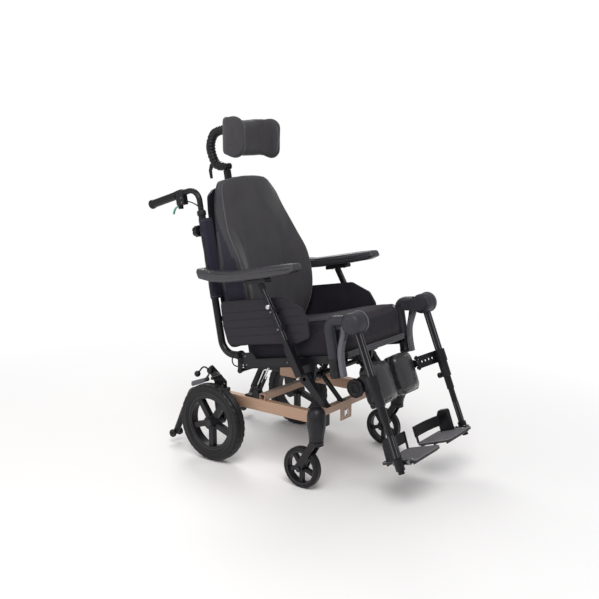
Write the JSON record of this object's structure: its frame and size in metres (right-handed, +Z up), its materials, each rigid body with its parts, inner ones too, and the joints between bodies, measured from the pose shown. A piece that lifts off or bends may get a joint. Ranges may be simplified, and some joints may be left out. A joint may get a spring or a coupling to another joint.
{
  "type": "tilt in space wheelchair",
  "caption": "Tilting and reclining attendant wheelchair with elevating legrests, swing-away calf pads, folding footplates and a jointed headrest.",
  "frame": {"origin": "on the floor under the middle of the bounding box", "axes": "+X to the sitter's left, -Y to the front, +Z up, stored at rest with the seat tilted back"},
  "size_m": [0.624, 1.2307, 1.311],
  "materials": {
    "anti_tipper_L": "satin",
    "anti_tipper_R": "satin",
    "armpad_L": "satin",
    "armpad_R": "satin",
    "armrest_post_L": "satin",
    "armrest_post_R": "satin",
    "armrest_sockets": "satin",
    "axle_brackets": "satin",
    "back_cushion": "knit",
    "back_frame": "satin",
    "back_shell": "satin",
    "calf_pad_L": "gloss",
    "calf_pad_R": "gloss",
    "castor_fork_L": "satin",
    "castor_fork_R": "satin",
    "castor_housings": "satin",
    "castor_wheel_L": "satin",
    "castor_wheel_R": "satin",
    "crossbars": "satin",
    "foot_tube_L": "satin",
    "foot_tube_R": "satin",
    "footplate_L": "textured",
    "footplate_R": "textured",
    "grips": "matte",
    "handle_cables": "satin",
    "handle_knob_L": "satin",
    "handle_knob_R": "satin",
    "handle_tubes": "satin",
    "headrest_arm": "satin",
    "headrest_bar": "satin",
    "headrest_clamp": "satin",
    "headrest_cushion": "knit",
    "legrest_hanger_L": "satin",
    "legrest_hanger_R": "satin",
    "legrest_upright_L": "satin",
    "legrest_upright_R": "satin",
    "lever_housings": "satin",
    "parking_brake_bodies": "satin",
    "parking_brake_lever_L": "satin",
    "parking_brake_lever_R": "satin",
    "rear_rim_L": "satin",
    "rear_rim_R": "satin",
    "rear_tyre_L": "matte",
    "rear_tyre_R": "matte",
    "recline_cylinder": "gloss",
    "recline_rod": "polished",
    "release_cable": "satin",
    "seat_cushion": "knit",
    "seat_frame": "satin",
    "seat_plate": "satin",
    "seat_side_covers": "satin",
    "side_beams": "satin",
    "side_guard_L": "satin",
    "side_guard_R": "satin",
    "strut_feet": "satin",
    "tilt_cylinders": "gloss",
    "tilt_rods": "polished",
    "tilt_uprights": "satin",
    "trigger_L": "gloss",
    "trigger_R": "gloss"
  },
  "bodies": {
    "chassis": {"side_beams": "side_beams", "crossbars": "crossbars", "castor_housings": "castor_housings", "tilt_uprights": "tilt_uprights", "axle_brackets": "axle_brackets", "strut_feet": "strut_feet", "parking_brake_bodies": "parking_brake_bodies"},
    "tilt_cylinders": {"tilt_cylinders": "tilt_cylinders"},
    "tilt_rods": {"tilt_rods": "tilt_rods"},
    "seat": {"seat_frame": "seat_frame", "seat_plate": "seat_plate", "seat_cushion": "seat_cushion", "seat_side_covers": "seat_side_covers", "armrest_sockets": "armrest_sockets", "release_cable": "release_cable", "recline_cylinder": "recline_cylinder"},
    "back": {"back_frame": "back_frame", "back_shell": "back_shell", "back_cushion": "back_cushion", "headrest_clamp": "headrest_clamp"},
    "recline_rod": {"recline_rod": "recline_rod"},
    "headrest_bar": {"headrest_bar": "headrest_bar"},
    "headrest_arm": {"headrest_arm": "headrest_arm"},
    "headrest_cushion": {"headrest_cushion": "headrest_cushion"},
    "handles": {"handle_tubes": "handle_tubes", "grips": "grips", "lever_housings": "lever_housings", "handle_cables": "handle_cables"},
    "tilt_trigger": {"trigger_R": "trigger_R"},
    "recline_trigger": {"trigger_L": "trigger_L"},
    "rear_wheel_L": {"rear_tyre_L": "rear_tyre_L", "rear_rim_L": "rear_rim_L"},
    "castor_fork_L": {"castor_fork_L": "castor_fork_L"},
    "castor_wheel_L": {"castor_wheel_L": "castor_wheel_L"},
    "parking_brake_L": {"parking_brake_lever_L": "parking_brake_lever_L"},
    "anti_tipper_L": {"anti_tipper_L": "anti_tipper_L"},
    "armrest_L": {"armrest_post_L": "armrest_post_L", "armpad_L": "armpad_L", "side_guard_L": "side_guard_L"},
    "handle_knob_L": {"handle_knob_L": "handle_knob_L"},
    "legrest_L": {"legrest_hanger_L": "legrest_hanger_L"},
    "legrest_upright_L": {"legrest_upright_L": "legrest_upright_L"},
    "calf_pad_L": {"calf_pad_L": "calf_pad_L"},
    "foot_tube_L": {"foot_tube_L": "foot_tube_L"},
    "footplate_L": {"footplate_L": "footplate_L"},
    "rear_wheel_R": {"rear_tyre_R": "rear_tyre_R", "rear_rim_R": "rear_rim_R"},
    "castor_fork_R": {"castor_fork_R": "castor_fork_R"},
    "castor_wheel_R": {"castor_wheel_R": "castor_wheel_R"},
    "parking_brake_R": {"parking_brake_lever_R": "parking_brake_lever_R"},
    "anti_tipper_R": {"anti_tipper_R": "anti_tipper_R"},
    "armrest_R": {"armrest_post_R": "armrest_post_R", "armpad_R": "armpad_R", "side_guard_R": "side_guard_R"},
    "handle_knob_R": {"handle_knob_R": "handle_knob_R"},
    "legrest_R": {"legrest_hanger_R": "legrest_hanger_R"},
    "legrest_upright_R": {"legrest_upright_R": "legrest_upright_R"},
    "calf_pad_R": {"calf_pad_R": "calf_pad_R"},
    "foot_tube_R": {"foot_tube_R": "foot_tube_R"},
    "footplate_R": {"footplate_R": "footplate_R"}
  },
  "joints": [
    {"name": "seat_tilt", "type": "hinge", "parent": "chassis", "child": "seat", "pos_m": [0, -0.16, 0.38], "axis": [-1, 0, 0], "range_deg": [-9.5, 9.5]},
    {"name": "tilt_cylinder_swing", "type": "hinge", "parent": "chassis", "child": "tilt_cylinders", "pos_m": [0, 0.07, 0.288], "axis": [1, 0, 0], "range_deg": [-4.5, 4.5]},
    {"name": "tilt_rod_swing", "type": "hinge", "parent": "seat", "child": "tilt_rods", "pos_m": [0, 0.00826, 0.40984], "axis": [1, 0, 0], "range_deg": [-14, 14]},
    {"name": "back_recline", "type": "hinge", "parent": "seat", "child": "back", "pos_m": [0, 0.15757, 0.41979], "axis": [-1, 0, 0], "range_deg": [0, 30]},
    {"name": "recline_rod_slide", "type": "slide", "parent": "seat", "child": "recline_rod", "axis": [0, 0.9833, -0.1822], "range_m": [-0.039, 0.001]},
    {"name": "headrest_height", "type": "slide", "parent": "back", "child": "headrest_bar", "axis": [0, 0.1822, 0.9833], "range_m": [0, 0.08]},
    {"name": "headrest_reach", "type": "hinge", "parent": "headrest_bar", "child": "headrest_arm", "pos_m": [0, 0.4047, 1.12761], "axis": [1, 0, 0], "range_deg": [-20, 8]},
    {"name": "headrest_angle", "type": "hinge", "parent": "headrest_arm", "child": "headrest_cushion", "pos_m": [0, 0.38276, 1.27813], "axis": [1, 0, 0], "range_deg": [-15, 15]},
    {"name": "handle_height", "type": "slide", "parent": "back", "child": "handles", "axis": [0, 0.1822, 0.9833], "range_m": [0, 0.1]},
    {"name": "tilt_trigger_squeeze", "type": "hinge", "parent": "handles", "child": "tilt_trigger", "pos_m": [-0.215, 0.45245, 0.96824], "axis": [1, 0, 0], "range_deg": [0, 12], "stiffness_Nm_per_rad": 0.6, "springref_deg": -20.05},
    {"name": "recline_trigger_squeeze", "type": "hinge", "parent": "handles", "child": "recline_trigger", "pos_m": [0.215, 0.45245, 0.96824], "axis": [1, 0, 0], "range_deg": [0, 12], "stiffness_Nm_per_rad": 0.6, "springref_deg": -20.05},
    {"name": "rear_wheel_L_roll", "type": "hinge", "parent": "chassis", "child": "rear_wheel_L", "pos_m": [0.273, 0.251, 0.1525], "axis": [1, 0, 0], "continuous": true},
    {"name": "castor_L_swivel", "type": "hinge", "parent": "chassis", "child": "castor_fork_L", "pos_m": [0.28, -0.249, 0.184], "axis": [0, 0, 1], "continuous": true},
    {"name": "castor_L_roll", "type": "hinge", "parent": "castor_fork_L", "child": "castor_wheel_L", "pos_m": [0.28, -0.188, 0.075], "axis": [1, 0, 0], "continuous": true},
    {"name": "parking_brake_L_swing", "type": "hinge", "parent": "chassis", "child": "parking_brake_L", "pos_m": [0.233, 0.285, 0.345], "axis": [1, 0, 0], "range_deg": [0, 22]},
    {"name": "anti_tipper_L_fold", "type": "hinge", "parent": "chassis", "child": "anti_tipper_L", "pos_m": [0.222, 0.297, 0.2465], "axis": [0, 1, 0], "range_deg": [0, 180]},
    {"name": "armrest_L_height", "type": "slide", "parent": "seat", "child": "armrest_L", "axis": [0, 0.4929, 0.8701], "range_m": [-0.02, 0.06]},
    {"name": "handle_knob_L_turn", "type": "hinge", "parent": "back", "child": "handle_knob_L", "pos_m": [0.215, 0.35324, 0.88289], "axis": [0, 0.9833, -0.1822], "continuous": true},
    {"name": "legrest_L_swing", "type": "hinge", "parent": "seat", "child": "legrest_L", "pos_m": [0.24, -0.2924, 0.47776], "axis": [0, 0.1822, 0.9833], "range_deg": [0, 90]},
    {"name": "legrest_L_elevation", "type": "hinge", "parent": "legrest_L", "child": "legrest_upright_L", "pos_m": [0.244, -0.37807, 0.61365], "axis": [-1, 0, 0], "range_deg": [-5, 60]},
    {"name": "calf_pad_L_swing", "type": "hinge", "parent": "legrest_upright_L", "child": "calf_pad_L", "pos_m": [0.15, -0.40815, 0.40087], "axis": [0, 0.3665, 0.9304], "range_deg": [0, 70]},
    {"name": "foot_tube_L_length", "type": "slide", "parent": "legrest_upright_L", "child": "foot_tube_L", "axis": [0, 0.3665, 0.9304], "range_m": [-0.045, 0.03]},
    {"name": "footplate_L_flip", "type": "hinge", "parent": "foot_tube_L", "child": "footplate_L", "pos_m": [0.22, -0.55766, 0.15775], "axis": [0, 0.9426, -0.3338], "range_deg": [0, 90]},
    {"name": "rear_wheel_R_roll", "type": "hinge", "parent": "chassis", "child": "rear_wheel_R", "pos_m": [-0.273, 0.251, 0.1525], "axis": [1, 0, 0], "continuous": true},
    {"name": "castor_R_swivel", "type": "hinge", "parent": "chassis", "child": "castor_fork_R", "pos_m": [-0.28, -0.249, 0.184], "axis": [0, 0, 1], "continuous": true},
    {"name": "castor_R_roll", "type": "hinge", "parent": "castor_fork_R", "child": "castor_wheel_R", "pos_m": [-0.28, -0.188, 0.075], "axis": [1, 0, 0], "continuous": true},
    {"name": "parking_brake_R_swing", "type": "hinge", "parent": "chassis", "child": "parking_brake_R", "pos_m": [-0.233, 0.285, 0.345], "axis": [1, 0, 0], "range_deg": [0, 22]},
    {"name": "anti_tipper_R_fold", "type": "hinge", "parent": "chassis", "child": "anti_tipper_R", "pos_m": [-0.222, 0.297, 0.2465], "axis": [0, -1, 0], "range_deg": [0, 180]},
    {"name": "armrest_R_height", "type": "slide", "parent": "seat", "child": "armrest_R", "axis": [0, 0.4929, 0.8701], "range_m": [-0.02, 0.06]},
    {"name": "handle_knob_R_turn", "type": "hinge", "parent": "back", "child": "handle_knob_R", "pos_m": [-0.215, 0.35324, 0.88289], "axis": [0, 0.9833, -0.1822], "continuous": true},
    {"name": "legrest_R_swing", "type": "hinge", "parent": "seat", "child": "legrest_R", "pos_m": [-0.24, -0.2924, 0.47776], "axis": [0, -0.1822, -0.9833], "range_deg": [0, 90]},
    {"name": "legrest_R_elevation", "type": "hinge", "parent": "legrest_R", "child": "legrest_upright_R", "pos_m": [-0.244, -0.37807, 0.61365], "axis": [-1, 0, 0], "range_deg": [-5, 60]},
    {"name": "calf_pad_R_swing", "type": "hinge", "parent": "legrest_upright_R", "child": "calf_pad_R", "pos_m": [-0.15, -0.40815, 0.40087], "axis": [0, -0.3665, -0.9304], "range_deg": [0, 70]},
    {"name": "foot_tube_R_length", "type": "slide", "parent": "legrest_upright_R", "child": "foot_tube_R", "axis": [0, 0.3665, 0.9304], "range_m": [-0.045, 0.03]},
    {"name": "footplate_R_flip", "type": "hinge", "parent": "foot_tube_R", "child": "footplate_R", "pos_m": [-0.22, -0.55766, 0.15775], "axis": [0, -0.9537, 0.3007], "range_deg": [0, 90]}
  ],
  "couplings": [
    {"joint": "tilt_cylinder_swing", "follows": "seat_tilt", "ratio": 0.3811},
    {"joint": "tilt_rod_swing", "follows": "seat_tilt", "ratio": 1.3811},
    {"joint": "recline_rod_slide", "follows": "back_recline", "m_per_rad": -0.063271}
  ]
}
